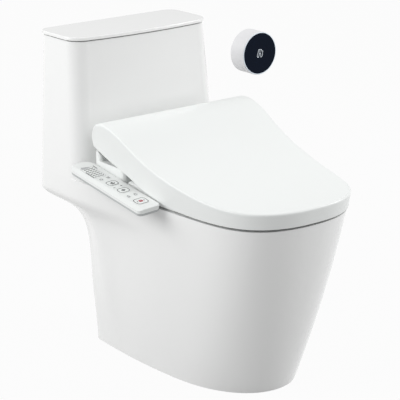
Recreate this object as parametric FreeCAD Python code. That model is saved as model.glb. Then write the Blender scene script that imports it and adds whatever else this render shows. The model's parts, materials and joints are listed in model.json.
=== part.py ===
"""Smart toilet with a heated bidet seat, a side control panel and a touchless flush sensor.

Millimetres, +Z up. The sitter faces -Y. Pieces are drawn from the plane that touches the
tank's back, with "depth" as the distance in front of it, and are moved at the end so that
the origin is the centre of the floor outlet.
"""
import FreeCAD, Part
import math
import os

V = FreeCAD.Vector

# ---------------------------------------------------------------- overall and ceramic
ROUGH_IN = 305.0          # tank's back to the centre of the floor outlet
OVERALL_HEIGHT = 700.0    # floor to the top of the tank lid
DECK_HEIGHT = 390.0       # floor to the bowl's rim and the seat deck
WALL = 11.0               # fired ceramic
TANK_TOP_HALF = 184.0     # half the tank's width under its lid
TANK_DRAFT = 0.046        # growth of that half width per mm downwards
TANK_TOP_DEPTH = 146.0
TANK_FRONT_LEAN = 0.088   # how far the tank's front comes forward per mm downwards
TANK_REAR_RADIUS = 25.0
TANK_FRONT_RADIUS = 38.0
TANK_FRONT_CROWN = 9.0    # bulge of the tank's front and lid over a flat one
TANK_FLOOR_HEIGHT = 356.0
DECK_THICKNESS = 14.0
LIP_HEIGHT = TANK_FLOOR_HEIGHT - 6.0  # where the tank's back turns under
BASE_SETBACK = 114.0      # skirt's rear edge at the floor, in front of the tank's back
BASE_REAR_HALF = 134.0
RIM_BULGE = 0.28          # how much rounder than straight the bowl's side is in height
SKIRT_DRIVEN = 0.35       # share of the straight taper in the side at the tank's front

# share of the rear's setback reached at each share of the lip's height: a rounded lip,
# a near-level underside and a hollow curve into the skirt's rear
SWEEP = ((1.0, 0.0), (0.985, 0.015), (0.97, 0.06), (0.952, 0.15), (0.935, 0.27),
         (0.918, 0.40), (0.90, 0.52), (0.875, 0.63), (0.84, 0.72), (0.78, 0.80),
         (0.67, 0.865), (0.471, 0.905), (0.229, 0.955), (0.0, 1.0))
PLAIN_LEVELS = (0.9, 0.6, 0.3, 0.1)  # shares of the way from the lip to the deck

# half outlines as (half width, depth), from the side of the tank to the front tip
RIM_PLAN = ((190.0, 240.0), (183.5, 320.0), (177.0, 430.0), (169.5, 525.0), (156.0, 608.0),
            (128.0, 658.0), (83.0, 686.0), (0.0, 699.0))
FLOOR_PLAN = ((139.5, 225.0), (141.0, 290.0), (139.0, 360.0), (132.0, 440.0), (116.0, 504.0),
              (89.0, 552.0), (53.0, 584.0), (0.0, 598.0))
SIDE_END = (115.0, 190.0)  # depth where the straight side ends, at the deck and at the floor

# ---------------------------------------------------------------- bowl and waterway
OPENING_CENTRE = 480.0    # depth of the middle of the bowl's mouth
OPENING_HALF = 118.0
OPENING_HALF_LENGTH = 172.0
SUMP_HEIGHT = 118.0       # inside bottom of the bowl
TRAP_BORE = 27.0          # radius of the trapway
TRAP_WALL = 9.0
TRAP_BEND = 36.0          # centre line radius of its bends
TRAP_ROUTE = ((430.0, 150.0), (330.0, 226.0), (246.0, 226.0), (226.0, 120.0),
              (ROUGH_IN, 76.0), (ROUGH_IN, 0.0))
CLOSET_BOLT_SPACING = 152.0
CLOSET_BOLT_HOLE = 5.5
HOLLOW_REAR_LEVEL = 0.78  # share of the lip's height above which the hollow's rear stays put
HOLLOW_LEVELS = (0.0, 0.12, 0.25, 0.4, 0.6, 0.8, 1.0)
CHANNEL_HALF = 45.0       # water channel from the tank to the bowl
CHANNEL_REAR = 86.0
CHANNEL_TOP = TANK_FLOOR_HEIGHT - 16.0
CHANNEL_BOTTOM = CHANNEL_TOP - 37.0
JET_HALF = 38.0           # slot where the channel enters the bowl
JET_BOTTOM = CHANNEL_BOTTOM + 9.0
JET_TOP = JET_BOTTOM + 14.0
FOOT_HEIGHT = 16.0
FOOT_HALF_DEPTH = 38.0
REAR_OPENING_HALF = 88.0
REAR_OPENING_TOP = 215.0
FLUSH_DEPTH = 116.0       # depth of the flush valve's axis
FLUSH_HOLE = 30.0

# ---------------------------------------------------------------- tank lid and fittings
LID_EDGE = 7.0
LID_GAP = 3.0             # between the tank's top and the lid, filled by pads
LID_OVERHANG = 3.5
LID_LIP = 12.0
FILL_X = -112.0
FILL_DEPTH = 52.0
FILL_HOLE = 12.5
SPOT_FACE = TANK_FLOOR_HEIGHT - 16.0  # level that the fill valve's nut is drawn up to
SPOT_FACE_RADIUS = 25.0
INLET_RADIUS = 10.48      # G 1/2 thread, outside
INLET_LENGTH = 30.0
SHANK_RADIUS = 11.4        # fill valve's shank above the supply hose's thread

FILL_NUT_HEIGHT = 12.0
RISER_RADIUS = 14.0
FILL_CAP_DROP = 80.0       # from the tank's top edge to the fill valve's cap
FILL_CAP_HEIGHT = 24.0
FLOAT_CLEARANCE = 60.0     # from the tank's floor to the float at rest
FLOAT_RADIUS = 26.0
FLOAT_HEIGHT = 62.0
TOWER_RADIUS = 38.0
TOWER_TOP = TANK_FLOOR_HEIGHT + 144.0
TOWER_HEAD = 34.0          # radius of the tower's head
POST_RADIUS = 2.5
VALVE_BORE = 26.0
SEAT_RING_TOP = 13.0       # from the tank's floor to the rim that the seal closes
SEAL_HEIGHT = 3.0
SEAL_PLAY = 0.2            # between the closed seal and its seat
CANISTER_HEIGHT = 70.0
CANISTER_RADIUS = 28.0
LIFT_ROD_RADIUS = 4.0
FLUSH_LIFT = 25.0
OVERFLOW_RADIUS = 14.0
REFILL_BEND = 18.0
REFILL_STUB = 4.0         # length of the fill valve's side outlet past its cap

# ---------------------------------------------------------------- seat unit
HINGE_DEPTH = 248.0
HINGE_HEIGHT = 493.0
NOSE_RADIUS = 45.0        # outside of the cover's rounded rear
COVER_WALL = 3.5
COVER_EDGE_HEIGHT = 396.0
COVER_TOP_FRONT = 430.0
COVER_LEAN = 0.16         # how far the cover's side leans out per mm upwards
COVER_CROWN = 5.0
COVER_ROUND = 4.5
COVER_REACH = 225.0       # half the width over which the crown falls
COVER_FAR = 712.0         # depth beyond the cover's tip
COVER_PLAN = ((176.0, 196.0), (180.0, 320.0), (180.0, 410.0), (176.0, 490.0), (170.0, 550.0),
              (157.5, 612.0), (133.0, 657.0), (97.5, 684.0), (51.0, 699.5), (0.0, 703.0))
# depth, height and share of the crown along the top, from behind the middle to past the tip
COVER_TOP_LINE = ((300.0, 528.0, 0.3), (360.0, 499.5, 0.7), (430.0, 472.0, 1.0), (500.0, 453.5, 1.0),
                  (570.0, 440.5, 0.9), (640.0, 433.0, 0.7), (COVER_FAR, COVER_TOP_FRONT, 0.5))
COVER_BOTTOM_LINE = ((243.0, 465.5), (323.0, 440.0), (376.0, 419.5), (428.0, 406.0), (479.0, 398.8),
                     (530.0, COVER_EDGE_HEIGHT), (620.0, COVER_EDGE_HEIGHT), (COVER_FAR, COVER_EDGE_HEIGHT))
BOSS_START = 156.0
BOSS_END = 191.0
PIN_END = 172.0
BARREL_RADIUS = 40.0
BARREL_HALF = 140.0
PIN_RADIUS = 5.0
RUNNING_FIT = 0.05        # radial, between the hinge pins and what turns on them
SLIDE_GAP = 0.3           # between parts that slide or meet on different bodies
SEAT_BOTTOM = 394.0
SEAT_SPLIT = 400.0
SEAT_TOP = 423.0
SEAT_REAR = 306.0
SEAT_INSET = 6.0          # seat's edge inside the cover's edge
SEAT_WALL = 3.0
SEAT_HOLE_HALF = 108.0
SEAT_HOLE_CENTRE = 494.0
SEAT_HOLE_HALF_LENGTH = 144.0
SEAT_EDGE_RADIUS = 9.0
ROUND_STEPS = 4           # flats that make up a rounded edge of the seat
SEAT_FEET = ((338.0, 140.0), (600.0, 112.0))  # depth and half spacing
COVER_PADS = ((600.0, 112.0), (652.0, 48.0))  # depth and half spacing
COVER_PAD_RADIUS = 5.0
EAR_INNER = 141.0
EAR_THICKNESS = 12.0
EAR_RADIUS = 16.0

HOUSING_HALF = 180.0
HOUSING_REAR = 197.0
HOUSING_FRONT = 302.0
HOUSING_BOTTOM = 391.3
HOUSING_SPLIT = 404.0
HOUSING_TOP = 446.0
HOUSING_CORNER = 10.0
TRAY_FLOOR = 400.0
SEAT_BOLT_LENGTH = 42.0
HOUSING_WALL = 3.0
REAR_WALL_TOP = 466.0
SEAT_BOLT_SPACING = 140.0
SEAT_BOLT_DEPTH = 227.0
SEAT_BOLT_RADIUS = 5.0
SEAT_BOLT_HOLE = 7.5
SEAT_NUT_HEIGHT = 17.0
PLATE_THICKNESS = 6.0

NOTCH_TOP = 412.0         # top of the seat's clearance over the nozzles
INLET_STUB = 16.0         # length of the bidet's water inlet thread
INLET_SHOULDER = 1.0      # how far the shoulder behind it stands out of the housing
INLET_STUB_DEPTH = 268.0
POWER_DEPTH = 224.0
BLOWER_X = -140.0
BLOWER_DEPTH = 262.0
BLOWER_RADIUS = 30.0
BLOWER_HEIGHT = 30.0
BLOWER_WALL = 2.0
BLOWER_PIN = 2.0          # radius of the pin that the wheel turns on
DUCT_X = BLOWER_X + 8.0
BLADES = 16
BLADE_WIDTH = 7.0
BOARD_HALF = 48.0
BOARD_DEPTH = 281.0
# left edge, width, thickness, lower edge and height of what stands on the control board
BOARD_PARTS = ((-36.0, 18.0, 9.0, 452.0, 18.0),
               (-10.0, 14.0, 3.0, 456.0, 14.0),
               (14.0, 22.0, 11.0, 452.0, 22.0))
PANEL_ARM_REACH = 18.0
PANEL_ARM_TOP = 424.0
PANEL_ARM_REAR = 214.0
PANEL_ARM_FRONT = 286.0
NOZZLE_RADIUS = 5.0
NOZZLE_LENGTH = 98.0
NOZZLE_SPACING = 22.0
NOZZLE_TILT = 15.0
NOZZLE_TIP_DEPTH = 300.5
NOZZLE_TIP_HEIGHT = 403.5

# ---------------------------------------------------------------- control panel
PANEL_LENGTH = 260.0
PANEL_WIDTH = 56.0
PANEL_TOP_THICKNESS = 9.0
PANEL_BASE_THICKNESS = 6.0
PANEL_CENTRE = V(-212.0, -308.0, 422.0)
PANEL_FALL = 8.2          # degrees, down towards the front
PANEL_ROLL = 3.5          # degrees, down away from the seat
PANEL_REAR_RADIUS = 24.0
PANEL_FRONT_RADIUS = 11.0
KEY_TRAVEL = 0.8
KEY_RISE = 0.5            # how far a key stands above the panel's top
KEY_GAP = 0.4
KEY_CORNER = 0.30         # corner radius of a key as a share of its smaller side
PANEL_SKIN = 1.8
PANEL_EDGE_RADIUS = 1.6
SHOULDER_WIDTH = 11.0     # outer strip of the panel's top that slopes away
SHOULDER_DROP = 3.0
PANEL_BASE_CHAMFER = 1.5
BOARD_LEVEL = -10.6       # upper face of the board, below the panel's top
SWITCH_TOP = -8.0
PANEL_SEAM = 0.6          # how far the base stands in under the top
KEY_FLANGE = 0.9          # how far a key's collar reaches under the panel's top
# name, offset across, offset towards the front, size across, size along
KEYS = (("key_power", -7.0, -34.0, 9.0, 9.0),
        ("key_dryer", 11.0, -34.0, 9.0, 9.0),
        ("key_rear_wash", 2.0, -7.0, 27.0, 22.0),
        ("key_minus", -7.0, 13.0, 9.0, 9.0),
        ("key_plus", 11.0, 13.0, 9.0, 9.0),
        ("key_front_wash", 2.0, 33.0, 27.0, 22.0),
        ("key_water_warmth", -7.0, 63.0, 9.0, 9.0),
        ("key_seat_warmth", 11.0, 63.0, 9.0, 9.0),
        ("key_stop", 2.0, 94.0, 30.0, 26.0))

# ---------------------------------------------------------------- touchless flush sensor
WALL_GAP = 12.0           # wall behind the tank's back
SENSOR_X = 424.0
SENSOR_HEIGHT = 567.0
SENSOR_RADIUS = 52.5
SENSOR_DEPTH = 47.0
SENSOR_PLATE = 5.0
SENSOR_SHELL = 2.5
SENSOR_GLASS = 2.2
SENSOR_RIM = 1.4          # white edge left in front, outside the light ring
SENSOR_RING = 1.3
SENSOR_PROUD = 0.4
RING_RADIUS = SENSOR_RADIUS - SENSOR_RIM
GLASS_RADIUS = RING_RADIUS - SENSOR_RING
SENSOR_SCREW_SPACING = 56.0
SENSOR_SCREW_HOLE = 2.2

TANK_TOP = OVERALL_HEIGHT - LID_EDGE - LID_GAP
FILL_CAP_BOTTOM = TANK_TOP - FILL_CAP_DROP
HINGE = V(0, -HINGE_DEPTH, HINGE_HEIGHT)
BEYOND = 1000.0            # outside the toilet on every side
ACROSS = V(1, 0, 0)
UP = V(0, 0, 1)
FRONT = V(0, -1, 0)


# ---------------------------------------------------------------- helpers
def at(x, depth, z):
    """Point by its distance in front of the tank's back."""
    return V(x, -depth, z)


def block(x0, x1, depth0, depth1, z0, z1):
    return Part.makeBox(x1 - x0, depth1 - depth0, z1 - z0, at(x0, depth1, z0))


def rod(radius, start, end):
    run = end - start
    return Part.makeCylinder(radius, run.Length, start, run)


def tube(outer, inner, start, end):
    return rod(outer, start, end).cut(rod(inner, start, end))


def rounded(shape, radius, direction=UP):
    """Fillets the edges that run along a direction."""
    edges = [e for e in shape.Edges
             if abs(abs((e.Vertexes[-1].Point - e.Vertexes[0].Point).normalize().dot(direction)) - 1) < 1e-6]
    return shape.makeFillet(radius, edges)


def edges_at(shape, height):
    """Edges that lie in one level plane."""
    return [e for e in shape.Edges if e.BoundBox.ZLength < 1e-6 and abs(e.BoundBox.ZMin - height) < 1e-6]


def join(shapes):
    return shapes[0].multiFuse(list(shapes[1:])).removeSplitter()


def loft(wires, ruled=False):
    """Solid through closed wires, with its faces looking outwards."""
    solid = Part.makeLoft(wires, True, ruled, False, 2)
    return solid if solid.Volume > 0 else solid.reversed()


def swept(path, radius):
    """Round bar along a path of tangent runs and arcs."""
    start = path.Edges[0]
    ring = Part.makeCircle(radius, start.valueAt(start.FirstParameter), start.tangentAt(start.FirstParameter))
    solid = path.makePipeShell([Part.Wire([ring])], True, True)
    return solid if solid.Volume > 0 else solid.reversed()


def interpolate(pairs, value):
    """Straight-line reading of a list of (input, output) pairs."""
    ordered = sorted(pairs)
    for (x0, y0), (x1, y1) in zip(ordered, ordered[1:]):
        if value <= x1:
            return y0 + (y1 - y0) * (value - x0) / (x1 - x0)
    return ordered[-1][1]


def spline(points, start=None, end=None):
    curve = Part.BSplineCurve()
    if start is None:
        curve.interpolate(Points=points)
    else:
        curve.interpolate(Points=points, InitialTangent=start, FinalTangent=end)
    return curve.toShape()


def mirrored(half):
    """A half outline, given from the rear to the tip on the centre line, made whole."""
    return list(half) + [(-x, depth) for x, depth in reversed(half[:-1])]


def grown(half, distance):
    """A half outline moved square to itself; the tip moves along the centre line."""
    moved = []
    for i, (x, depth) in enumerate(half):
        before = half[max(i - 1, 0)]
        after = half[i + 1] if i + 1 < len(half) else (-half[i - 1][0], half[i - 1][1])
        along = V(after[0] - before[0], after[1] - before[1], 0)
        along.normalize()
        moved.append((x + along.y * distance, depth - along.x * distance))
    return moved


def plan_wire(half, z):
    """Closed level outline with a straight rear."""
    points = [at(x, depth, z) for x, depth in mirrored(half)]
    first = points[1] - points[0]
    last = points[-1] - points[-2]
    front = spline(points, first.normalize(), last.normalize())
    return Part.Wire([front, Part.LineSegment(points[-1], points[0]).toShape()])


def ellipse_wire(half_x, half_depth, depth, z):
    if half_x > half_depth:
        curve = Part.Ellipse(at(half_x, depth, z), at(0, depth + half_depth, z), at(0, depth, z))
    else:
        curve = Part.Ellipse(at(0, depth + half_depth, z), at(half_x, depth, z), at(0, depth, z))
    return Part.Wire([curve.toShape()])


# ---------------------------------------------------------------- ceramic body
def tank_half(z):
    return TANK_TOP_HALF + TANK_DRAFT * (TANK_TOP - max(z, LIP_HEIGHT))


def tank_front(z):
    return TANK_TOP_DEPTH + TANK_FRONT_LEAN * (TANK_TOP - z)


def sweep_share(z):
    return interpolate([(h * LIP_HEIGHT, share) for h, share in SWEEP], z)


def taper_share(z):
    level = z / DECK_HEIGHT
    return level + RIM_BULGE * level * (1 - level)


def body_stations(z, inset, least_share):
    """Rear corner, side end and front outline of the skirt at one height."""
    share = max(sweep_share(z), least_share)
    taper = taper_share(z)
    side = (1 - SKIRT_DRIVEN) * (1 - share) + SKIRT_DRIVEN * taper
    rear_half = tank_half(z) * (1 - share) + BASE_REAR_HALF * share
    rear_depth = BASE_SETBACK * share
    side_depth = SIDE_END[1] + (SIDE_END[0] - SIDE_END[1]) * side
    side_half = BASE_REAR_HALF + 3.5 + (tank_half(z) - BASE_REAR_HALF - 3.5) * side
    front = [(side_half, side_depth)]
    for i, (rim, floor) in enumerate(zip(RIM_PLAN, FLOOR_PLAN)):
        blend = min(1.0, (i + 1) / 3)
        level = side * (1 - blend) + taper * blend
        front.append((floor[0] + (rim[0] - floor[0]) * level, floor[1] + (rim[1] - floor[1]) * level))
    if inset:
        front = grown(front, -inset)
    return rear_half - inset, rear_depth + inset, front


def body_wire(level, inset=0.0, least_share=0.0):
    """Closed outline of the skirt; a least share keeps the rear from following the lip."""
    rear_half, rear_depth, front = body_stations(level, inset, least_share)
    radius = TANK_REAR_RADIUS - inset
    points = [at(x, depth, level) for x, depth in mirrored(front)]
    corner = at(rear_half, rear_depth + radius, level)
    along = (points[0] - corner).normalize()
    edges = []
    for side in (1, -1):
        start = at(side * (rear_half - radius), rear_depth, level)
        end = at(side * rear_half, rear_depth + radius, level)
        bend = radius * (1 - math.sqrt(0.5))
        middle = at(side * (rear_half - bend), rear_depth + bend, level)
        edges.append(Part.Arc(start, middle, end).toShape())
    mirror_along = V(-along.x, along.y, 0)
    front_edge = spline(points, along, V(-mirror_along.x, -mirror_along.y, 0))
    return Part.Wire([
        edges[0],
        Part.LineSegment(corner, points[0]).toShape(),
        front_edge,
        Part.LineSegment(points[-1], at(-rear_half, rear_depth + radius, level)).toShape(),
        edges[1],
        Part.LineSegment(at(radius - rear_half, rear_depth, level),
                         at(rear_half - radius, rear_depth, level)).toShape(),
    ])


def levels_below_deck():
    above = [LIP_HEIGHT + share * (DECK_HEIGHT - LIP_HEIGHT) for share in (1.0,) + PLAIN_LEVELS]
    return above + [share * LIP_HEIGHT for share, _ in SWEEP]


def skirt_outside():
    return loft([body_wire(z) for z in levels_below_deck()])


def tank_wire(z, inset=0.0):
    """Rounded plan of the tank with a crowned front."""
    half = tank_half(z) - inset
    rear = inset
    front = tank_front(z) - inset
    rear_radius = TANK_REAR_RADIUS - inset
    front_radius = TANK_FRONT_RADIUS - inset
    corner_depth = front - TANK_FRONT_CROWN
    edges = []
    for side in (1, -1):
        bend = rear_radius * (1 - math.sqrt(0.5))
        edges.append(Part.Arc(at(side * (half - rear_radius), rear, z),
                              at(side * (half - bend), rear + bend, z),
                              at(side * half, rear + rear_radius, z)).toShape())
        edges.append(Part.LineSegment(at(side * half, rear + rear_radius, z),
                                      at(side * half, corner_depth - front_radius, z)).toShape())
        bend = front_radius * (1 - math.sqrt(0.5))
        edges.append(Part.Arc(at(side * half, corner_depth - front_radius, z),
                              at(side * (half - bend), corner_depth - bend, z),
                              at(side * (half - front_radius), corner_depth, z)).toShape())
    edges.append(Part.Arc(at(half - front_radius, corner_depth, z), at(0, front, z),
                          at(front_radius - half, corner_depth, z)).toShape())
    edges.append(Part.LineSegment(at(half - rear_radius, rear, z), at(rear_radius - half, rear, z)).toShape())
    return Part.Wire(Part.__sortEdges__(edges))


def tank_outside():
    return loft([tank_wire(DECK_HEIGHT), tank_wire(TANK_TOP)], ruled=True)


def bowl(inset):
    """The basin as a solid; a negative inset gives its outside."""
    # height, depth of centre, half width, half length
    rings = ((DECK_HEIGHT + 1, 0.0, 1.0, 1.0),
             (DECK_HEIGHT - 45, 0.0, 0.985, 0.985),
             (290.0, -8.0, 0.88, 0.89),
             (230.0, -22.0, 0.68, 0.69),
             (175.0, -40.0, 0.47, 0.45),
             (SUMP_HEIGHT + inset, -52.0, 0.34, 0.31))
    wires = []
    for z, shift, across, along in rings:
        wires.append(ellipse_wire(OPENING_HALF * across - inset, OPENING_HALF_LENGTH * along - inset,
                                  OPENING_CENTRE + shift, z))
    return loft(wires)


def trap_path():
    """Trapway centre line: straight runs joined by tangent arcs."""
    points = [at(0, depth, z) for depth, z in TRAP_ROUTE]
    edges = []
    start = points[0]
    for before, corner, after in zip(points, points[1:], points[2:]):
        into = (corner - before).normalize()
        out = (after - corner).normalize()
        turn = math.acos(max(-1.0, min(1.0, into.dot(out))))
        cut = TRAP_BEND * math.tan(turn / 2)
        a = corner - into * cut
        b = corner + out * cut
        inward = (out - into).normalize()
        middle = corner + inward * (TRAP_BEND / math.cos(turn / 2) - TRAP_BEND)
        if (a - start).Length > 1e-6:
            edges.append(Part.LineSegment(start, a).toShape())
        edges.append(Part.Arc(a, middle, b).toShape())
        start = b
    edges.append(Part.LineSegment(start, points[-1]).toShape())
    return Part.Wire(edges)


def trapway(radius):
    return swept(trap_path(), radius)


def skirt_hollow():
    """Open space under the bowl: the skirt's inside, kept below the deck and the tank's floor."""
    ceiling = DECK_HEIGHT - DECK_THICKNESS
    levels = [ceiling - share * ceiling for share in HOLLOW_LEVELS]
    least_share = sweep_share(HOLLOW_REAR_LEVEL * LIP_HEIGHT)
    wires = [body_wire(z, WALL, least_share) for z in levels]
    space = loft(wires)
    under_tank = block(-250, 250, -20, tank_front(DECK_HEIGHT) + WALL, CHANNEL_TOP, DECK_HEIGHT)
    below_floor = block(-250, 250, 0, 800, -10, 0)
    return space.cut(join([under_tank, below_floor]))


def channel(inset):
    """Water channel; the outside has a negative inset and runs into the bowl's wall."""
    bowl_rear = OPENING_CENTRE - OPENING_HALF_LENGTH
    end = bowl_rear + WALL if inset else bowl_rear - WALL + 2
    return block(-CHANNEL_HALF + inset, CHANNEL_HALF - inset, CHANNEL_REAR + inset, end,
                 CHANNEL_BOTTOM + inset, CHANNEL_TOP - inset)


def tank_cavity():
    mouth = TANK_TOP + 1
    return loft([tank_wire(TANK_FLOOR_HEIGHT, WALL), tank_wire(mouth, WALL)], ruled=True)


def floor_foot():
    """Pad at the floor round the outlet, from one side of the skirt to the other."""
    reach = BASE_REAR_HALF - WALL / 2
    return block(-reach, reach, ROUGH_IN - FOOT_HALF_DEPTH, ROUGH_IN + FOOT_HALF_DEPTH, 0, FOOT_HEIGHT)


def ceramic_holes():
    holes = [rod(FLUSH_HOLE, at(0, FLUSH_DEPTH, CHANNEL_TOP - 5), at(0, FLUSH_DEPTH, TANK_FLOOR_HEIGHT + 5)),
             rod(FILL_HOLE, fill_axis(LIP_HEIGHT - 60), fill_axis(TANK_FLOOR_HEIGHT + 5)),
             rod(SPOT_FACE_RADIUS, fill_axis(LIP_HEIGHT - 60), fill_axis(SPOT_FACE)),
             block(-JET_HALF, JET_HALF, OPENING_CENTRE - OPENING_HALF_LENGTH - WALL * 2,
                   OPENING_CENTRE - OPENING_HALF_LENGTH * 0.5, JET_BOTTOM, JET_TOP),
             block(-REAR_OPENING_HALF, REAR_OPENING_HALF, 60, BASE_SETBACK + WALL + 12, -5, REAR_OPENING_TOP)]
    for side in (-1, 1):
        seat_bolt = side * SEAT_BOLT_SPACING / 2
        holes.append(rod(SEAT_BOLT_HOLE, at(seat_bolt, SEAT_BOLT_DEPTH, DECK_HEIGHT - 30),
                         at(seat_bolt, SEAT_BOLT_DEPTH, DECK_HEIGHT + 5)))
        closet_bolt = side * CLOSET_BOLT_SPACING / 2
        holes.append(rod(CLOSET_BOLT_HOLE, at(closet_bolt, ROUGH_IN, -5),
                         at(closet_bolt, ROUGH_IN, FOOT_HEIGHT + 5)))
    return holes


def ceramic_castings():
    """The china, which is cast in four pieces that are joined wet and fired as one."""
    above_deck = block(-BEYOND, BEYOND, -BEYOND, BEYOND, DECK_HEIGHT, BEYOND)
    basin = bowl(-WALL).cut(above_deck)
    drain = join([trapway(TRAP_BORE + TRAP_WALL), floor_foot()]).cut(basin)
    shell = join([skirt_outside(), tank_outside()]).cut(skirt_hollow().cut(channel(-WALL)))
    castings = {
        "ceramic_tank": shell.common(above_deck),
        "ceramic_skirt": shell.cut(above_deck).cut(basin).cut(drain),
        "ceramic_bowl": basin,
        "ceramic_trapway": drain,
    }
    for space in [bowl(0), trapway(TRAP_BORE), channel(0), tank_cavity()] + ceramic_holes():
        for name, casting in castings.items():
            castings[name] = casting.cut(space)
    return castings


# ---------------------------------------------------------------- tank lid and fittings
def tank_lid():
    overhang = -LID_OVERHANG
    under = TANK_TOP + LID_GAP
    rim = TANK_DRAFT * LID_GAP
    top = loft([tank_wire(under, overhang + rim), tank_wire(OVERALL_HEIGHT, overhang + rim)], ruled=True)
    top = top.makeFillet(LID_EDGE * 0.35, edges_at(top, OVERALL_HEIGHT))
    lip_gap = WALL + 2.0
    lip = loft([tank_wire(TANK_TOP - LID_LIP, lip_gap), tank_wire(under + 1, lip_gap)], ruled=True)
    core = loft([tank_wire(TANK_TOP - LID_LIP - 1, lip_gap + 7), tank_wire(under, lip_gap + 7)], ruled=True)
    return join([top, lip.cut(core)])


def lid_pads():
    """Rubber pads between the tank's top edge and the lid."""
    half = tank_half(TANK_TOP) - WALL / 2
    pads = []
    for side in (-1, 1):
        for depth in (TANK_REAR_RADIUS + 15, TANK_TOP_DEPTH - TANK_FRONT_RADIUS - 12):
            foot = at(side * half, depth, TANK_TOP)
            pads.append(rod(4.0, foot, foot + UP * LID_GAP))
    return Part.makeCompound(pads)


def fill_axis(z):
    return at(FILL_X, FILL_DEPTH, z)


def fill_valve():
    """Inlet thread and shank, flange, riser tube with the float's stop, and cap."""
    floor = TANK_FLOOR_HEIGHT
    thread_top = SPOT_FACE - FILL_NUT_HEIGHT
    thread_low = thread_top - INLET_LENGTH
    stop_top = floor + FLOAT_CLEARANCE - SLIDE_GAP
    cap_middle = fill_axis(FILL_CAP_BOTTOM + FILL_CAP_HEIGHT / 2)
    body = join([
        rod(INLET_RADIUS, fill_axis(thread_low), fill_axis(thread_top)),
        rod(SHANK_RADIUS, fill_axis(thread_top), fill_axis(floor + SEAL_HEIGHT + 1)),
        rod(FILL_HOLE + 6, fill_axis(floor + SEAL_HEIGHT), fill_axis(floor + SEAL_HEIGHT + 5)),
        rod(RISER_RADIUS, fill_axis(floor + SEAL_HEIGHT + 4), fill_axis(FILL_CAP_BOTTOM)),
        rod(RISER_RADIUS + 7, fill_axis(stop_top - 6), fill_axis(stop_top)),
        rod(FLOAT_RADIUS, fill_axis(FILL_CAP_BOTTOM), fill_axis(FILL_CAP_BOTTOM + FILL_CAP_HEIGHT)),
        rod(5.0, cap_middle, cap_middle + ACROSS * (FLOAT_RADIUS + REFILL_STUB)),
    ])
    return body.cut(rod(INLET_RADIUS - 3, fill_axis(thread_low - 1), fill_axis(floor + 20)))


def fill_gasket():
    return tube(FILL_HOLE + 6, SHANK_RADIUS + 0.1, fill_axis(TANK_FLOOR_HEIGHT),
                fill_axis(TANK_FLOOR_HEIGHT + SEAL_HEIGHT))


def fill_nut():
    low = fill_axis(SPOT_FACE - FILL_NUT_HEIGHT)
    high = fill_axis(SPOT_FACE)
    corners = []
    for i in range(7):
        angle = math.radians(60 * i)
        corners.append(low + V(math.cos(angle), math.sin(angle), 0) * (SPOT_FACE_RADIUS - 5))
    nut = Part.Face(Part.makePolygon(corners)).extrude(high - low)
    return nut.cut(rod(SHANK_RADIUS + RUNNING_FIT, low - UP, high + UP))


def fill_float():
    """Ring float that rides up the riser tube."""
    low = TANK_FLOOR_HEIGHT + FLOAT_CLEARANCE
    return tube(FLOAT_RADIUS, RISER_RADIUS + SLIDE_GAP, fill_axis(low), fill_axis(low + FLOAT_HEIGHT))


def flush_axis(z):
    return at(0, FLUSH_DEPTH, z)


def flush_tower():
    """Seat ring in the floor's hole, cage and overflow pipe of the flush valve."""
    floor = TANK_FLOOR_HEIGHT
    seat = tube(TOWER_RADIUS, VALVE_BORE, flush_axis(floor + SEAL_HEIGHT), flush_axis(floor + SEAT_RING_TOP))
    spigot = tube(FLUSH_HOLE - SLIDE_GAP, VALVE_BORE, flush_axis(CHANNEL_TOP), flush_axis(floor + 4))
    posts = []
    for i in range(3):
        angle = math.radians(90 + 120 * i)
        spot = V(math.cos(angle), math.sin(angle), 0) * (CANISTER_RADIUS + SLIDE_GAP + POST_RADIUS)
        posts.append(rod(POST_RADIUS, flush_axis(floor + SEAT_RING_TOP - 1) + spot,
                         flush_axis(TOWER_TOP + 2) + spot))
    head = tube(TOWER_HEAD, LIFT_ROD_RADIUS + SLIDE_GAP, flush_axis(TOWER_TOP), flush_axis(TOWER_TOP + 8))
    overflow_x = -TOWER_RADIUS - OVERFLOW_RADIUS - 4
    overflow = tube(OVERFLOW_RADIUS, OVERFLOW_RADIUS - 2.5, at(overflow_x, FLUSH_DEPTH, floor + 3),
                    at(overflow_x, FLUSH_DEPTH, TOWER_TOP + 40))
    arm = block(overflow_x + OVERFLOW_RADIUS - 1, -VALVE_BORE - 1, FLUSH_DEPTH - 7, FLUSH_DEPTH + 7,
                floor + SEAL_HEIGHT, floor + SEAT_RING_TOP)
    return join([seat, spigot, head, overflow, arm] + posts)


def flush_gasket():
    floor = TANK_FLOOR_HEIGHT
    return tube(TOWER_RADIUS, FLUSH_HOLE, flush_axis(floor), flush_axis(floor + SEAL_HEIGHT))


def flush_canister():
    """Float can on its lift rod."""
    low = TANK_FLOOR_HEIGHT + SEAT_RING_TOP + SEAL_HEIGHT
    can = rod(CANISTER_RADIUS, flush_axis(low), flush_axis(low + CANISTER_HEIGHT))
    stem = rod(LIFT_ROD_RADIUS, flush_axis(low + CANISTER_HEIGHT), flush_axis(TOWER_TOP + 24))
    return join([can, stem])


def flush_seal():
    low = TANK_FLOOR_HEIGHT + SEAT_RING_TOP
    return rod(CANISTER_RADIUS, flush_axis(low + SEAL_PLAY), flush_axis(low + SEAL_HEIGHT))


def flush_actuator():
    """Sealed motor and receiver box that pulls the lift rod, on legs over the tower's head."""
    low = TOWER_TOP + 8
    box = rounded(block(-34, 34, FLUSH_DEPTH - 26, FLUSH_DEPTH + 24,
                        low + FLUSH_LIFT + 20, low + FLUSH_LIFT + 74), 5)
    legs = []
    for side in (-1, 1):
        foot = at(side * (TOWER_HEAD - 6), FLUSH_DEPTH, low)
        legs.append(rod(4.0, foot, foot + UP * (FLUSH_LIFT + 21)))
    return join([box] + legs)


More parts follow.
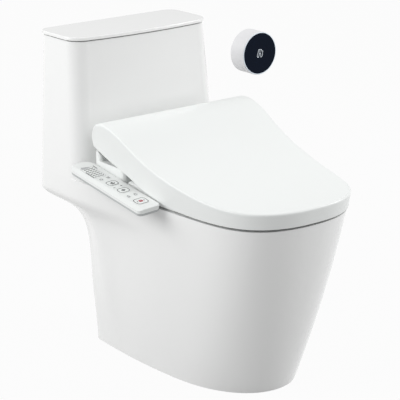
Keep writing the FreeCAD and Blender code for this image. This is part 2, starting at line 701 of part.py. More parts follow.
def refill_tube():
    """Hose from the fill valve's cap to the overflow pipe's mouth."""
    overflow_x = -TOWER_RADIUS - OVERFLOW_RADIUS - 4
    level = FILL_CAP_BOTTOM + 12
    start = at(FILL_X + FLOAT_RADIUS + REFILL_STUB, FILL_DEPTH, level)
    end = at(overflow_x, FLUSH_DEPTH, TOWER_TOP + 30)
    turn = REFILL_BEND
    corner = at(overflow_x, FILL_DEPTH, level)
    a = corner - ACROSS * turn
    b = corner + FRONT * turn
    corner2 = at(overflow_x, FLUSH_DEPTH, level)
    c = corner2 - FRONT * turn
    d = corner2 - UP * turn
    small = turn * (1 - math.sqrt(0.5))
    edges = [Part.LineSegment(start, a).toShape(),
             Part.Arc(a, corner - ACROSS * small + FRONT * small, b).toShape(),
             Part.LineSegment(b, c).toShape(),
             Part.Arc(c, corner2 - FRONT * small - UP * small, d).toShape(),
             Part.LineSegment(d, end).toShape()]
    return swept(Part.Wire(edges), 4.5)


# ---------------------------------------------------------------- seat mounting and housing
def mounting_plate():
    plate = rounded(block(-95, 95, 208, 250, DECK_HEIGHT, DECK_HEIGHT + PLATE_THICKNESS), 5)
    for side in (-1, 1):
        x = side * SEAT_BOLT_SPACING / 2
        plate = plate.cut(rod(SEAT_BOLT_RADIUS + SLIDE_GAP, at(x, SEAT_BOLT_DEPTH, DECK_HEIGHT - 1),
                              at(x, SEAT_BOLT_DEPTH, DECK_HEIGHT + PLATE_THICKNESS + 1)))
        plate = plate.cut(rod(SEAT_BOLT_RADIUS * 1.8, at(x, SEAT_BOLT_DEPTH, DECK_HEIGHT + 2.5),
                              at(x, SEAT_BOLT_DEPTH, DECK_HEIGHT + PLATE_THICKNESS + 1)))
    return plate


def at_seat_bolts(build):
    return Part.makeCompound([build(side * SEAT_BOLT_SPACING / 2) for side in (-1, 1)])


def seat_bolt(x):
    deck = at(x, SEAT_BOLT_DEPTH, DECK_HEIGHT)
    head = rod(SEAT_BOLT_RADIUS * 1.7, deck + UP * 2.5, deck + UP * 5.5)
    shank = rod(SEAT_BOLT_RADIUS, deck - UP * SEAT_BOLT_LENGTH, deck + UP * 3)
    return join([shank, head])


def seat_bolt_nut(x):
    """Wing nut with a flange that bears on the deck's underside."""
    top = at(x, SEAT_BOLT_DEPTH, DECK_HEIGHT - DECK_THICKNESS)
    bottom = top - UP * SEAT_NUT_HEIGHT
    hub = rod(11.0, bottom, top)
    flange = rod(14.0, top - UP * 3, top)
    wings = block(x - 22, x + 22, SEAT_BOLT_DEPTH - 2, SEAT_BOLT_DEPTH + 2, bottom.z, top.z - 5)
    return join([hub, flange, wings]).cut(rod(SEAT_BOLT_RADIUS + RUNNING_FIT, bottom - UP, top + UP))


def housing_plan(z0, z1, inset=0.0):
    half = HOUSING_HALF - inset
    shape = block(-half, half, HOUSING_REAR + inset, HOUSING_FRONT - inset, z0, z1)
    return rounded(shape, HOUSING_CORNER - inset)


def nozzle_port(gap=0.0):
    half = NOZZLE_SPACING / 2 + NOZZLE_RADIUS * 2.2 - gap
    return block(-half, half, HOUSING_FRONT - HOUSING_WALL - 8, HOUSING_FRONT + 2,
                 NOZZLE_TIP_HEIGHT - 10 + gap, NOZZLE_TIP_HEIGHT + 10 - gap)


def seat_base():
    """Lower tray of the housing, with a pocket for the mounting plate."""
    tray = housing_plan(HOUSING_BOTTOM, HOUSING_SPLIT)
    tray = tray.cut(housing_plan(TRAY_FLOOR, HOUSING_SPLIT + 1, HOUSING_WALL))
    pocket = block(-95 - SLIDE_GAP, 95 + SLIDE_GAP, 208 - SLIDE_GAP, 250 + SLIDE_GAP, HOUSING_BOTTOM - 1,
                   DECK_HEIGHT + PLATE_THICKNESS + SLIDE_GAP)
    return tray.cut(pocket).cut(nozzle_port())


def seat_hood():
    """Upper shell of the housing: case, rear wall round the cover's nose, neck and hinge barrel."""
    case = housing_plan(HOUSING_SPLIT, HOUSING_TOP)
    rear = block(-HOUSING_HALF, HOUSING_HALF, HOUSING_REAR, HOUSING_REAR + 2 * HOUSING_CORNER,
                 HOUSING_TOP - 20, REAR_WALL_TOP)
    rear = rounded(rear, 8.0)
    sweep = rod(NOSE_RADIUS + 1.5, HINGE - ACROSS * 260, HINGE + ACROSS * 260)
    case = join([case, rear]).cut(sweep)
    neck = block(-BARREL_HALF, BARREL_HALF, HINGE_DEPTH + 26, HOUSING_FRONT,
                 HOUSING_TOP - 3, HINGE_HEIGHT + 8)
    barrel = rod(BARREL_RADIUS, HINGE - ACROSS * BARREL_HALF, HINGE + ACROSS * BARREL_HALF)
    hood = join([case, neck, barrel])
    inside = housing_plan(HOUSING_SPLIT - 1, HOUSING_TOP - HOUSING_WALL, HOUSING_WALL)
    neck_inside = block(3 - BARREL_HALF, BARREL_HALF - 3, HINGE_DEPTH + 29, HOUSING_FRONT - 3,
                        HOUSING_TOP - 10, HINGE_HEIGHT + 5)
    inner_half = ACROSS * (BARREL_HALF - 3)
    barrel_inside = rod(BARREL_RADIUS - 3, HINGE - inner_half, HINGE + inner_half)
    pin_holes = rod(PIN_RADIUS, HINGE - ACROSS * (BARREL_HALF + 1), HINGE + ACROSS * (BARREL_HALF + 1))
    hood = hood.cut(inside).cut(neck_inside).cut(barrel_inside).cut(pin_holes)
    hood = join([hood] + board_bosses())
    for opening in (nozzle_port(), dryer_port(), inlet_hole(), power_hole()):
        hood = hood.cut(opening)
    return hood


def hinge_pins():
    """Damper pins that the seat's ears and the cover turn on."""
    pins = []
    for side in (-1, 1):
        out = ACROSS * side
        body = rod(12.0, HINGE + out * (BARREL_HALF - 63), HINGE + out * (BARREL_HALF - 3))
        pin = rod(PIN_RADIUS, HINGE + out * (BARREL_HALF - 4), HINGE + out * PIN_END)
        pins.append(join([body, pin]))
    return Part.makeCompound(pins)


# ---------------------------------------------------------------- cover
def cover_plan(inset, lift=0.0):
    """Solid with the cover's leaning sides and no top."""
    low = grown(COVER_PLAN, -inset)
    drop = 20.0
    rise = HINGE_HEIGHT + NOSE_RADIUS + 10 - COVER_EDGE_HEIGHT
    return loft([plan_wire(grown(low, -drop * COVER_LEAN), COVER_EDGE_HEIGHT - drop),
                 plan_wire(grown(low, rise * COVER_LEAN), COVER_EDGE_HEIGHT + rise)], ruled=True)


def cover_top(x, inset, crown):
    """Nose arc and top line of the cover in one lengthwise plane."""
    radius = NOSE_RADIUS - inset
    top = [at(x, HINGE_DEPTH, HINGE_HEIGHT + radius)]
    for depth, height, share in COVER_TOP_LINE:
        top.append(at(x, depth, height - inset * 1.05 - crown * share))
    line = spline(top, FRONT, V(0, -1, -0.03).normalize())
    return top, line


def arc_point(x, radius, degrees):
    """Point round the hinge; 0 faces the front and 90 is up."""
    angle = math.radians(degrees)
    return at(x, HINGE_DEPTH + radius * math.cos(angle), HINGE_HEIGHT + radius * math.sin(angle))


def cover_side(x, inset, crown):
    top, line = cover_top(x, inset, crown)
    radius = NOSE_RADIUS - inset
    far = top[-1]
    if inset:
        low = COVER_EDGE_HEIGHT - 40
        heel = arc_point(x, radius, 200)
        rest = [Part.LineSegment(far, at(x, COVER_FAR, low)).toShape(),
                Part.LineSegment(at(x, COVER_FAR, low), V(heel.x, heel.y, low)).toShape(),
                Part.LineSegment(V(heel.x, heel.y, low), heel).toShape()]
    else:
        heel = arc_point(x, radius, 194)
        edge = [heel] + [at(x, depth, height) for depth, height in COVER_BOTTOM_LINE]
        bottom = spline(edge, (edge[1] - edge[0]).normalize(), FRONT)
        rest = [Part.LineSegment(far, edge[-1]).toShape(), bottom]
    nose = Part.Arc(heel, arc_point(x, radius, 150), top[0]).toShape()
    return Part.Wire(Part.__sortEdges__([nose, line] + rest))


def cover_profile(inset):
    """Solid between the cover's top and bottom lines, crowned across."""
    sides = [cover_side(x, inset, crown)
             for x, crown in ((-COVER_REACH, COVER_CROWN), (0.0, 0.0), (COVER_REACH, COVER_CROWN))]
    return loft(sides)


def cover():
    outside = cover_plan(0.0).common(cover_profile(0.0))
    rim = [e for e in outside.Edges if e.BoundBox.ZLength > 30 and e.BoundBox.ZMax > HINGE_HEIGHT]
    outside = outside.makeFillet(COVER_ROUND, rim)
    shell = outside.cut(cover_plan(COVER_WALL).common(cover_profile(COVER_WALL)))
    pieces = [shell]
    for side in (-1, 1):
        boss = rod(EAR_RADIUS - 2, HINGE + ACROSS * side * BOSS_START, HINGE + ACROSS * side * BOSS_END)
        pieces.append(boss)
    whole = join(pieces)
    for side in (-1, 1):
        whole = whole.cut(rod(PIN_RADIUS + RUNNING_FIT, HINGE + ACROSS * side * (BOSS_START - 1),
                              HINGE + ACROSS * side * (PIN_END + SLIDE_GAP)))
    return whole


def cover_bumpers(shell):
    """Soft pads between the cover and the seat, trimmed to the cover's inner face."""
    pads = []
    for side in (-1, 1):
        for depth, half in COVER_PADS:
            outer_face = interpolate([(d, h) for d, h, _ in COVER_TOP_LINE], depth)
            pad = rod(COVER_PAD_RADIUS, at(side * half, depth, SEAT_TOP + SLIDE_GAP),
                      at(side * half, depth, outer_face - COVER_WALL / 2))
            pads.append(min(pad.cut(shell).Solids, key=lambda solid: solid.BoundBox.ZMin))
    return Part.makeCompound(pads)


# ---------------------------------------------------------------- seat
def seat_plan():
    half = [point for point in grown(COVER_PLAN, -SEAT_INSET) if point[1] > SEAT_REAR + 5]
    return [(half[0][0], SEAT_REAR)] + half


def seat_hole(grow, z):
    return ellipse_wire(SEAT_HOLE_HALF + grow, SEAT_HOLE_HALF_LENGTH + grow, SEAT_HOLE_CENTRE, z)


def seat_ring(z0, z1, inset, radius=0.0):
    """Seat outline less its hole, between two levels, with its top edges rounded."""
    levels = [(z0, 0.0), (z1 - radius, 0.0)]
    for step in range(1, ROUND_STEPS + 1 if radius else 1):
        angle = math.radians(90 * step / ROUND_STEPS)
        levels.append((z1 - radius + radius * math.sin(angle), radius * (1 - math.cos(angle))))
    plate = loft([seat_wire(inset + draw, z) for z, draw in levels], ruled=True)
    plate = plate.cut(Part.Face(seat_hole(inset, z0 - 1)).extrude(UP * (z1 - z0 + 2)))
    if radius:
        rims = [e for e in edges_at(plate, z1) if e.BoundBox.YMax < -SEAT_REAR - 30]
        plate = plate.makeFillet(radius, [min(rims, key=lambda edge: edge.BoundBox.XLength)])
    return plate


def seat_wire(inset, z):
    """Closed outline of the seat with its rear kept straight and square."""
    half = [(x, depth) for x, depth in grown(seat_plan(), -inset)]
    half[0] = (half[0][0], SEAT_REAR + inset)
    return plan_wire(half, z)


def nozzle_notch():
    """Clearance in the seat's rear underside for the extended nozzles."""
    half = NOZZLE_SPACING / 2 + NOZZLE_RADIUS + 10
    front = SEAT_HOLE_CENTRE - SEAT_HOLE_HALF_LENGTH + 12
    return block(-half, half, SEAT_REAR - 5, front, SEAT_BOTTOM - 1, NOTCH_TOP)


def seat_lower():
    plate = seat_ring(SEAT_BOTTOM, SEAT_SPLIT, 1.0)
    return plate.cut(nozzle_notch())


def seat_ear(side):
    """Arm from the ring's rear up and back to the hinge."""
    x0 = EAR_INNER if side > 0 else -EAR_INNER - EAR_THICKNESS
    outline = [(SEAT_REAR + 34, SEAT_SPLIT + 1), (SEAT_REAR, SEAT_SPLIT + 1),
               (SEAT_REAR, HINGE_HEIGHT - EAR_RADIUS - 4), (HINGE_DEPTH, HINGE_HEIGHT - EAR_RADIUS),
               (HINGE_DEPTH, HINGE_HEIGHT + EAR_RADIUS), (SEAT_REAR + 8, HINGE_HEIGHT + EAR_RADIUS - 8),
               (SEAT_REAR + 24, HINGE_HEIGHT - 18)]
    points = [at(x0, depth, z) for depth, z in outline]
    arm = Part.Face(Part.makePolygon(points + points[:1])).extrude(ACROSS * EAR_THICKNESS)
    knuckle = rod(EAR_RADIUS, HINGE + ACROSS * x0, HINGE + ACROSS * (x0 + EAR_THICKNESS))
    return join([arm, knuckle])


def seat_upper():
    """Warm top shell with the two hinge ears."""
    shell = seat_ring(SEAT_SPLIT, SEAT_TOP, 0.0, SEAT_EDGE_RADIUS)
    shell = shell.cut(seat_ring(SEAT_SPLIT - 1, SEAT_TOP - SEAT_WALL, SEAT_WALL))
    whole = join([shell, seat_ear(-1), seat_ear(1)]).cut(nozzle_notch())
    return whole.cut(rod(PIN_RADIUS + RUNNING_FIT, HINGE - ACROSS * 200, HINGE + ACROSS * 200))


def seat_heater():
    """Heating foil on a thin carrier under the top shell."""
    carrier = seat_ring(SEAT_TOP - SEAT_WALL - 2.2, SEAT_TOP - SEAT_WALL, SEAT_WALL + 9)
    return carrier.cut(block(-300, 300, SEAT_REAR - 40, SEAT_REAR + 38, SEAT_BOTTOM, SEAT_TOP))


def seat_bumpers():
    """Rubber feet that rest on the bowl's rim."""
    feet = []
    for side in (-1, 1):
        for depth, half in SEAT_FEET:
            feet.append(rounded_foot(side * half, depth))
    return Part.makeCompound(feet)


def rounded_foot(x, depth):
    foot = rod(9.0, at(x, depth, DECK_HEIGHT), at(x, depth, SEAT_BOTTOM))
    return foot.makeChamfer(1.0, edges_at(foot, DECK_HEIGHT))


# ---------------------------------------------------------------- washing, warming and drying parts
def nozzle_axis(side):
    """Tip and direction of travel of one nozzle."""
    tilt = math.radians(NOZZLE_TILT)
    tip = at(side * NOZZLE_SPACING / 2, NOZZLE_TIP_DEPTH, NOZZLE_TIP_HEIGHT)
    return tip, V(0, -math.cos(tilt), -math.sin(tilt))


def nozzle(side):
    tip, direction = nozzle_axis(side)
    body = rod(NOZZLE_RADIUS, tip - direction * NOZZLE_LENGTH, tip)
    body = body.makeFillet(2.0, [e for e in body.Edges if (e.CenterOfMass - tip).Length < 0.5])
    jet = rod(1.2, tip - direction * 9 - UP, tip - direction * 9 + UP * 12)
    water = rod(NOZZLE_RADIUS - 1.6, tip - direction * (NOZZLE_LENGTH + 1), tip - direction * 6)
    return body.cut(jet).cut(water)


def nozzle_sleeve(side):
    tip, direction = nozzle_axis(side)
    front = tip - direction * 14
    rear = tip - direction * (NOZZLE_LENGTH - 8)
    return tube(NOZZLE_RADIUS + 2.2, NOZZLE_RADIUS + SLIDE_GAP / 2, rear, front)


def nozzle_guide():
    """Pair of sleeves on one bracket."""
    tip, direction = nozzle_axis(1)
    half = NOZZLE_SPACING / 2 - NOZZLE_RADIUS - 1
    web = block(-half, half, 220, 284, TRAY_FLOOR, 414)
    feet = block(-NOZZLE_SPACING / 2 - 12, NOZZLE_SPACING / 2 + 12, 222, 230, TRAY_FLOOR, 419)
    bracket = join([web, feet, nozzle_sleeve(-1), nozzle_sleeve(1)])
    for side in (-1, 1):
        tip, direction = nozzle_axis(side)
        bracket = bracket.cut(rod(NOZZLE_RADIUS + SLIDE_GAP / 2, tip - direction * (NOZZLE_LENGTH + 5), tip))
    return bracket


def nozzle_guard():
    """Bezel with the two nozzle holes, in the housing's front."""
    plate = nozzle_port(SLIDE_GAP / 2)
    plate = plate.common(block(-200, 200, HOUSING_FRONT - HOUSING_WALL - 1, HOUSING_FRONT + 0.5, 0, 600))
    for side in (-1, 1):
        tip, direction = nozzle_axis(side)
        plate = plate.cut(rod(NOZZLE_RADIUS + SLIDE_GAP, tip - direction * 40, tip + direction * 40))
    return plate


def nozzle_motors():
    motors = []
    for side in (-1, 1):
        x = side * (NOZZLE_SPACING / 2 + 24)
        can = rod(11.0, at(x, 238, TRAY_FLOOR + 11.5), at(x, 256, TRAY_FLOOR + 11.5))
        foot = block(x - 11, x + 11, 240, 254, TRAY_FLOOR, TRAY_FLOOR + 6)
        motors.append(join([can, foot]))
    return Part.makeCompound(motors)


def water_heater():
    low, high = TRAY_FLOOR, HOUSING_TOP - HOUSING_WALL - 4
    tank = rounded(block(52, 122, 218, 296, low, high), 8)
    return join([tank] + [rod(4.0, at(x, 222, high - 10), at(x, 208, high - 10)) for x in (68, 106)])


def water_pump():
    motor = rod(13.0, at(-52, 282, TRAY_FLOOR + 13), at(-88, 282, TRAY_FLOOR + 13))
    head = rounded(block(-104, -86, 268, 296, TRAY_FLOOR, TRAY_FLOOR + 28), 3)
    return join([motor, head, block(-84, -56, 274, 290, TRAY_FLOOR, TRAY_FLOOR + 5)])


def inlet_valve():
    """Solenoid valve whose threaded water inlet comes through the housing's side."""
    rear, front = INLET_STUB_DEPTH - 20, INLET_STUB_DEPTH + 18
    body = rounded(block(128, HOUSING_HALF - HOUSING_WALL - SLIDE_GAP, rear, front,
                         TRAY_FLOOR, TRAY_FLOOR + 34), 3)
    shoulder = rod(SHANK_RADIUS, inlet_axis(160), inlet_axis(HOUSING_HALF + INLET_SHOULDER))
    thread = rod(INLET_RADIUS, inlet_axis(160), inlet_axis(HOUSING_HALF + INLET_SHOULDER + INLET_STUB))
    bore = rod(INLET_RADIUS - 3, inlet_axis(165), inlet_axis(HOUSING_HALF + BEYOND))
    coil = rod(9.0, at(142, rear + 4, TRAY_FLOOR + 12), at(142, rear - 12, TRAY_FLOOR + 12))
    return join([body, shoulder, thread, coil]).cut(bore)


def inlet_axis(x):
    return at(x, INLET_STUB_DEPTH, TRAY_FLOOR + 20)


def inlet_hole():
    return rod(SHANK_RADIUS + SLIDE_GAP, inlet_axis(HOUSING_HALF - 12), inlet_axis(HOUSING_HALF + 5))


def power_inlet():
    """Cable gland in the housing's side, with no cable."""
    level = TRAY_FLOOR + 18
    start = at(HOUSING_HALF - HOUSING_WALL - 6, POWER_DEPTH, level)
    gland = tube(9.0, 4.0, start, at(HOUSING_HALF + 10, POWER_DEPTH, level))
    flange = tube(12.0, 4.0, start, at(HOUSING_HALF - HOUSING_WALL - 0.1, POWER_DEPTH, level))
    return join([gland, flange])


def power_hole():
    level = TRAY_FLOOR + 18
    return rod(9.0 + SLIDE_GAP / 2, at(HOUSING_HALF - 12, POWER_DEPTH, level),
               at(HOUSING_HALF + 5, POWER_DEPTH, level))


def blower_axis(z):
    return at(BLOWER_X, BLOWER_DEPTH, z)


def blower_housing():
    """Round fan case and the warm air duct to the housing's front."""
    low = TRAY_FLOOR
    high = low + BLOWER_HEIGHT
    duct_end = HOUSING_FRONT - HOUSING_WALL - SLIDE_GAP
    case = rod(BLOWER_RADIUS, blower_axis(low), blower_axis(high))
    duct = block(DUCT_X, BLOWER_X + BLOWER_RADIUS, BLOWER_DEPTH, duct_end, low, high - 4)
    inner = BLOWER_RADIUS - BLOWER_WALL
    chamber = rod(inner, blower_axis(low + BLOWER_WALL), blower_axis(high - BLOWER_WALL))
    duct_inside = block(DUCT_X + BLOWER_WALL, BLOWER_X + inner, BLOWER_DEPTH, HOUSING_FRONT,
                        low + BLOWER_WALL, high - 4 - BLOWER_WALL)
    eye = rod(11.0, blower_axis(low + 3), blower_axis(high + 1))
    pin = rod(BLOWER_PIN, blower_axis(low + 1), blower_axis(high - 6))
    return join([case, duct]).cut(chamber).cut(duct_inside).cut(eye).fuse(pin).removeSplitter()


def blower_wheel():
    low = TRAY_FLOOR + 2.5
    high = low + BLOWER_HEIGHT - 6
    hub = rod(6.0, blower_axis(low), blower_axis(high - 6))
    disc = rod(BLOWER_RADIUS - 6, blower_axis(low), blower_axis(low + 2))
    rim = BLOWER_X + BLOWER_RADIUS - 7
    pieces = [hub, disc]
    for i in range(BLADES):
        blade = block(rim - BLADE_WIDTH, rim, BLOWER_DEPTH - 0.6, BLOWER_DEPTH + 0.6, low + 1, high)
        blade.rotate(blower_axis(0), UP, 360 / BLADES * i)
        pieces.append(blade)
    wheel = join(pieces)
    return wheel.cut(rod(BLOWER_PIN + RUNNING_FIT, blower_axis(low - 1), blower_axis(high + 1)))


def dryer_outlet():
    """Louvred outlet of the warm air duct, in the housing's front."""
    frame = dryer_port(SLIDE_GAP / 2)
    x0, x1 = frame.BoundBox.XMin, frame.BoundBox.XMax
    slots = 3
    pitch = (frame.BoundBox.ZLength - 2) / slots
    for i in range(slots):
        low = frame.BoundBox.ZMin + 2 + i * pitch
        frame = frame.cut(block(x0 + 2, x1 - 2, HOUSING_FRONT - 20, HOUSING_FRONT + 5, low, low + pitch - 2))
    return frame


def dryer_port(gap=0.0):
    """Warm air's way through the housing's front; a gap gives the grille that sits in it."""
    front = HOUSING_FRONT + (0.5 if gap else 2)
    return block(DUCT_X + gap, BLOWER_X + BLOWER_RADIUS - gap, HOUSING_FRONT - HOUSING_WALL, front,
                 HOUSING_SPLIT + 1 + gap, TRAY_FLOOR + BLOWER_HEIGHT - 4 - gap)


def deodoriser_filter():
    x0 = -HOUSING_HALF + HOUSING_WALL + 2
    frame = rounded(block(x0, x0 + 24, 204, 231, TRAY_FLOOR, TRAY_FLOOR + 30), 2)
    for i in range(4):
        low = TRAY_FLOOR + 4 + 6 * i
        frame = frame.cut(block(x0 - 1, x0 + 25, 208, 227, low, low + 4))
    return frame


def control_board():
    board = block(-BOARD_HALF, BOARD_HALF, BOARD_DEPTH, BOARD_DEPTH + 1.6, HOUSING_TOP + 2, HINGE_HEIGHT)
    parts = [block(x, x + width, BOARD_DEPTH + 1.5, BOARD_DEPTH + 1.5 + thick, z, z + height)
             for x, width, thick, z, height in BOARD_PARTS]
    return join([board] + parts)


def board_bosses():
    """Pillars on the hood's front wall that the control board is screwed to."""
    spots = [(side * (BOARD_HALF - 5), z) for side in (-1, 1) for z in (HOUSING_TOP + 7, HINGE_HEIGHT - 5)]
    return [rod(3.0, at(x, BOARD_DEPTH + 1.6, z), at(x, HOUSING_FRONT - 1, z)) for x, z in spots]


def panel_arm():
    """Bridge that carries the control panel on the housing's side."""
    arm = block(-HOUSING_HALF - PANEL_ARM_REACH, -HOUSING_HALF, PANEL_ARM_REAR, PANEL_ARM_FRONT,
                HOUSING_SPLIT + 1, PANEL_ARM_TOP)
    low = -PANEL_TOP_THICKNESS - PANEL_BASE_THICKNESS
    panel = [panel_plan(0.0, -PANEL_TOP_THICKNESS), panel_plan(-PANEL_TOP_THICKNESS, low, PANEL_SEAM)]
    for piece in panel:
        arm = arm.cut(panel_place(piece))
    return arm


# ---------------------------------------------------------------- control panel
def panel_place(shape):
    """Turns a piece drawn flat, with its top at zero, into the panel's place."""
    roll = FreeCAD.Rotation(V(0, 1, 0), -PANEL_ROLL)
    fall = FreeCAD.Rotation(V(1, 0, 0), PANEL_FALL)
    placed = shape.copy()
    placed.Placement = FreeCAD.Placement(PANEL_CENTRE, fall.multiply(roll)).multiply(placed.Placement)
    return placed


def panel_plan(top, bottom, inset=0.0):
    """Flat bar with a round rear end; its front is towards -Y."""
    half = PANEL_WIDTH / 2 - inset
    rear = PANEL_LENGTH / 2 - inset
    bar = Part.makeBox(2 * half, 2 * rear, top - bottom, V(-half, -rear, bottom))
    upright = [e for e in bar.Edges if abs(e.Vertexes[0].Z - e.Vertexes[-1].Z) > 0.5 * (top - bottom)]
    bar = bar.makeFillet(PANEL_REAR_RADIUS - inset, [e for e in upright if e.BoundBox.YMin > 0])
    upright = [e for e in bar.Edges if e.BoundBox.ZLength > 0.5 * (top - bottom) and e.BoundBox.YMax < 0
               and e.BoundBox.XLength < 0.01]
    return bar.makeFillet(PANEL_FRONT_RADIUS - inset, [e for e in upright if e.BoundBox.YMin < -rear + 0.1])


def above_shoulder(lift):
    """Wedge over the sloping outer strip of the panel's top."""
    outer = -PANEL_WIDTH / 2
    slope = SHOULDER_DROP / SHOULDER_WIDTH
    beside = PANEL_WIDTH - SHOULDER_WIDTH
    corners = [V(outer + SHOULDER_WIDTH, 0, lift),
               V(outer + SHOULDER_WIDTH, 0, lift + SHOULDER_DROP + PANEL_SKIN),
               V(outer - beside, 0, lift + SHOULDER_DROP + PANEL_SKIN),
               V(outer - beside, 0, lift - slope * (SHOULDER_WIDTH + beside))]
    wedge = Part.Face(Part.makePolygon(corners + corners[:1])).extrude(V(0, 2 * PANEL_LENGTH, 0))
    wedge.translate(V(0, -PANEL_LENGTH, 0))
    return wedge


def key_block(key, top, bottom, gap=0.0):
    across, along, width, length = key[1:]
    half_x = width / 2 + gap
    half_y = length / 2 + gap
    cap = Part.makeBox(2 * half_x, 2 * half_y, top - bottom, V(across - half_x, -along - half_y, bottom))
    upright = [e for e in cap.Edges if e.BoundBox.ZLength > 0.5 * (top - bottom)]
    return cap.makeFillet(min(width, length) * KEY_CORNER + gap, upright)


def panel_top():
    shell = panel_plan(0.0, -PANEL_TOP_THICKNESS)
    shell = shell.makeFillet(PANEL_EDGE_RADIUS, edges_at(shell, 0.0)).cut(above_shoulder(0.0))
    inside = panel_plan(-PANEL_SKIN, -PANEL_TOP_THICKNESS - 1, PANEL_SKIN)
    shell = shell.cut(inside.cut(above_shoulder(-PANEL_SKIN)))
    for key in KEYS:
        shell = shell.cut(key_block(key, 1, -PANEL_SKIN - 1, KEY_GAP))
    return shell


def panel_base():
    low = -PANEL_TOP_THICKNESS - PANEL_BASE_THICKNESS
    tray = panel_plan(-PANEL_TOP_THICKNESS, low, PANEL_SEAM)
    tray = tray.makeChamfer(PANEL_BASE_CHAMFER, edges_at(tray, low))
    return tray.cut(panel_plan(0.0, low + PANEL_SKIN, PANEL_SKIN + PANEL_SEAM))


def panel_board():
    """Circuit board on its feet, with a switch under each key."""
    pieces = [panel_plan(BOARD_LEVEL, BOARD_LEVEL - 1.6, PANEL_SKIN + PANEL_SEAM + 0.6)]
    floor = -PANEL_TOP_THICKNESS - PANEL_BASE_THICKNESS + PANEL_SKIN
    for x in (-14.0, 14.0):
        for y in (-96.0, 0.0, 96.0):
            pieces.append(Part.makeCylinder(2.5, BOARD_LEVEL - 1 - floor, V(x, y, floor)))
    for key in KEYS:
        foot = V(key[1], -key[2], BOARD_LEVEL - 0.5)
        pieces.append(Part.makeCylinder(2.2, SWITCH_TOP - foot.z, foot))
    return join(pieces)


def key_cap(key):
    """Key with a collar under the panel's top and a stem over the board's switch."""
    collar_top = -PANEL_SKIN - SLIDE_GAP
    cap = key_block(key, KEY_RISE, collar_top - 0.5)
    cap = cap.makeFillet(0.35, edges_at(cap, KEY_RISE))
    collar = key_block(key, collar_top, collar_top - 1.0, KEY_GAP + KEY_FLANGE)
    stem_low = SWITCH_TOP + KEY_TRAVEL + SLIDE_GAP
    stem = Part.makeCylinder(2.0, collar_top - stem_low, V(key[1], -key[2], stem_low))
    return join([cap, collar, stem])


# ---------------------------------------------------------------- touchless flush sensor
def sensor_at(depth_from_wall):
    return V(SENSOR_X, WALL_GAP - depth_from_wall, SENSOR_HEIGHT)


def sensor_disc(radius, rear, front):
    return rod(radius, sensor_at(rear), sensor_at(front))


def sensor_wall_plate():
    plate = sensor_disc(SENSOR_RADIUS - SENSOR_SHELL - SLIDE_GAP, 0, SENSOR_PLATE)
    for side in (-1, 1):
        spot = ACROSS * side * SENSOR_SCREW_SPACING / 2
        plate = plate.cut(rod(SENSOR_SCREW_HOLE, sensor_at(-1) + spot, sensor_at(SENSOR_PLATE + 1) + spot))
    return plate


def sensor_housing():
    """Drum that closes over the wall plate, open in front for the glass."""
    drum = sensor_disc(SENSOR_RADIUS, 0.4, SENSOR_DEPTH)
    front = [e for e in drum.Edges if abs(e.CenterOfMass.y - sensor_at(SENSOR_DEPTH).y) < 0.1]
    drum = drum.makeFillet(SENSOR_SHELL * 0.6, front)
    drum = drum.cut(sensor_disc(SENSOR_RADIUS - SENSOR_SHELL, -1, SENSOR_DEPTH - SENSOR_GLASS - 3))
    return drum.cut(sensor_disc(RING_RADIUS, SENSOR_DEPTH - SENSOR_GLASS - 4, SENSOR_DEPTH + 1))


def sensor_ring():
    """Light ring round the glass."""
    front = SENSOR_DEPTH + SENSOR_PROUD
    ring = sensor_disc(RING_RADIUS, SENSOR_DEPTH - SENSOR_GLASS - 2, front)
    return ring.cut(sensor_disc(GLASS_RADIUS, SENSOR_DEPTH - SENSOR_GLASS - 3, front + 1))


def sensor_glass():
    return sensor_disc(GLASS_RADIUS, SENSOR_DEPTH - SENSOR_GLASS, SENSOR_DEPTH + SENSOR_PROUD - 0.1)


def sensor_board():
    front = SENSOR_DEPTH - SENSOR_GLASS
    board = sensor_disc(SENSOR_RADIUS - SENSOR_SHELL - 0.2, front - 6.6, front - 5.0)
    eye = rod(6.0, sensor_at(front - 5.1), sensor_at(front - 0.1))
    return join([board, eye])


def sensor_battery():
    """Two cells side by side in their cradle on the wall plate."""
    between = sensor_at(SENSOR_PLATE + 10)
    cells = [rod(7.2, between + ACROSS * x - UP * 22, between + ACROSS * x + UP * 22) for x in (-8.0, 8.0)]
    middle = sensor_at(SENSOR_PLATE)
    cradle = Part.makeBox(34, 6, 50, V(middle.x - 17, middle.y - 6, middle.z - 25))
    return join([cradle.cut(join(cells))] + cells)


